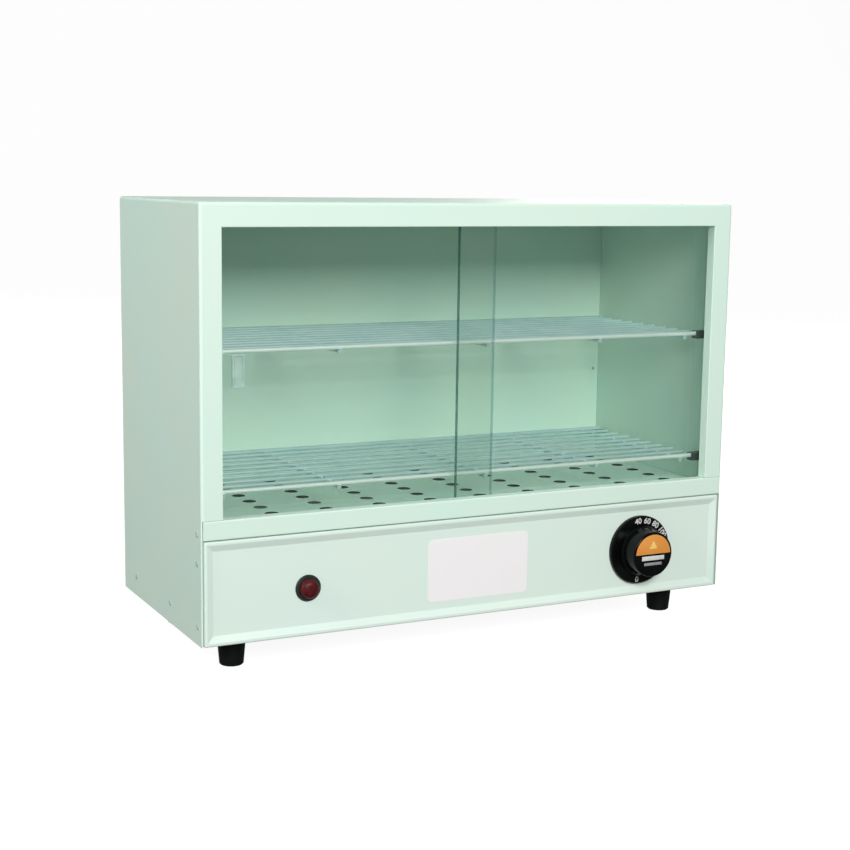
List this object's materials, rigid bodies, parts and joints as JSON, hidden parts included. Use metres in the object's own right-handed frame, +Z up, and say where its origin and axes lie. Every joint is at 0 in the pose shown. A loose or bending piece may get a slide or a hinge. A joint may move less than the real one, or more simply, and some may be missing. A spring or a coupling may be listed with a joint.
{
  "type": "hot food display case",
  "caption": "Countertop hot food display case with sliding glass doors, wire racks over a perforated deck, and a heated base with a thermostat knob and pilot lamp.",
  "frame": {"origin": "on the surface that the feet stand on, midway between the sides and midway between the knob's face and the cord gland's tip", "axes": "+X along the width to the right as seen from the front, +Y from the glass doors to the rear panel, +Z up"},
  "size_m": [0.5098, 0.26, 0.384],
  "materials": {
    "mint_powder_coat": "satin powder coat",
    "black_steel": "satin black",
    "channel_aluminium": "satin",
    "pane_glass": "clear float glass",
    "clear_acrylic": "clear, glossy",
    "bright_wire": "bright plated wire",
    "foot_rubber": "matt",
    "zinc_steel": "zinc plated",
    "black_plastic": "moulded, semi-gloss",
    "badge_print": "printed film",
    "switch_plastic": "moulded",
    "lens_red": "translucent red",
    "bulb_glass": "clear",
    "label_film": "plain film",
    "element_steel": "heat-darkened sheath",
    "terminal_ceramic": "glazed",
    "copper_tube": "bright",
    "lead_sleeve": "heat-resistant sleeve",
    "earth_sleeve": "heat-resistant sleeve"
  },
  "bodies": {
    "cabinet": {"base_plate": "zinc_steel", "bottom_rail": "mint_powder_coat", "bottom_track": "channel_aluminium", "bracket_screws": "zinc_steel", "bulb_clips": "zinc_steel", "control_panel": "mint_powder_coat", "cord_gland": "black_plastic", "deck_plate": "mint_powder_coat", "dial_plate": "black_plastic", "earth_lead": "earth_sleeve", "earth_stud": "zinc_steel", "foot_front_left": "foot_rubber", "foot_front_right": "foot_rubber", "foot_nuts": "zinc_steel", "foot_rear_left": "foot_rubber", "foot_rear_right": "foot_rubber", "foot_screws": "zinc_steel", "foot_washers": "zinc_steel", "front_label": "label_film", "gland_nut": "black_plastic", "heater_brackets": "zinc_steel", "heater_leads": "lead_sleeve", "heating_element": "element_steel", "lamp_bulb": "bulb_glass", "lamp_housing": "black_plastic", "lamp_leads": "lead_sleeve", "lamp_lens": "lens_red", "lamp_nut": "black_plastic", "lower_brackets": "black_steel", "outer_shell": "mint_powder_coat", "rear_panel": "mint_powder_coat", "rear_screws": "zinc_steel", "side_rivets": "mint_powder_coat", "supply_lead": "lead_sleeve", "terminal_block": "terminal_ceramic", "thermostat_body": "switch_plastic", "thermostat_bulb": "copper_tube", "thermostat_screws": "zinc_steel", "top_track": "channel_aluminium", "upper_brackets": "black_steel"},
    "left_door": {"left_glass": "pane_glass", "left_pull": "clear_acrylic"},
    "right_door": {"right_glass": "pane_glass"},
    "upper_rack": {"upper_shelf": "bright_wire"},
    "lower_rack": {"lower_shelf": "bright_wire"},
    "heat_knob": {"knob": "black_plastic", "knob_badge": "badge_print", "thermostat_shaft": "zinc_steel"}
  },
  "joints": [
    {"name": "left_door_slide", "type": "slide", "parent": "cabinet", "child": "left_door", "axis": [1, 0, 0], "range_m": [0, 0.231]},
    {"name": "right_door_slide", "type": "slide", "parent": "cabinet", "child": "right_door", "axis": [1, 0, 0], "range_m": [-0.231, 0]},
    {"name": "upper_rack_lift", "type": "slide", "parent": "cabinet", "child": "upper_rack", "axis": [0, 0, 1], "range_m": [0, 0.03]},
    {"name": "lower_rack_lift", "type": "slide", "parent": "cabinet", "child": "lower_rack", "axis": [0, 0, 1], "range_m": [0, 0.03]},
    {"name": "heat_knob_turn", "type": "hinge", "parent": "cabinet", "child": "heat_knob", "pos_m": [0.1655, -0.12, 0.0704], "axis": [0, 1, 0], "range_deg": [0, 270]}
  ]
}
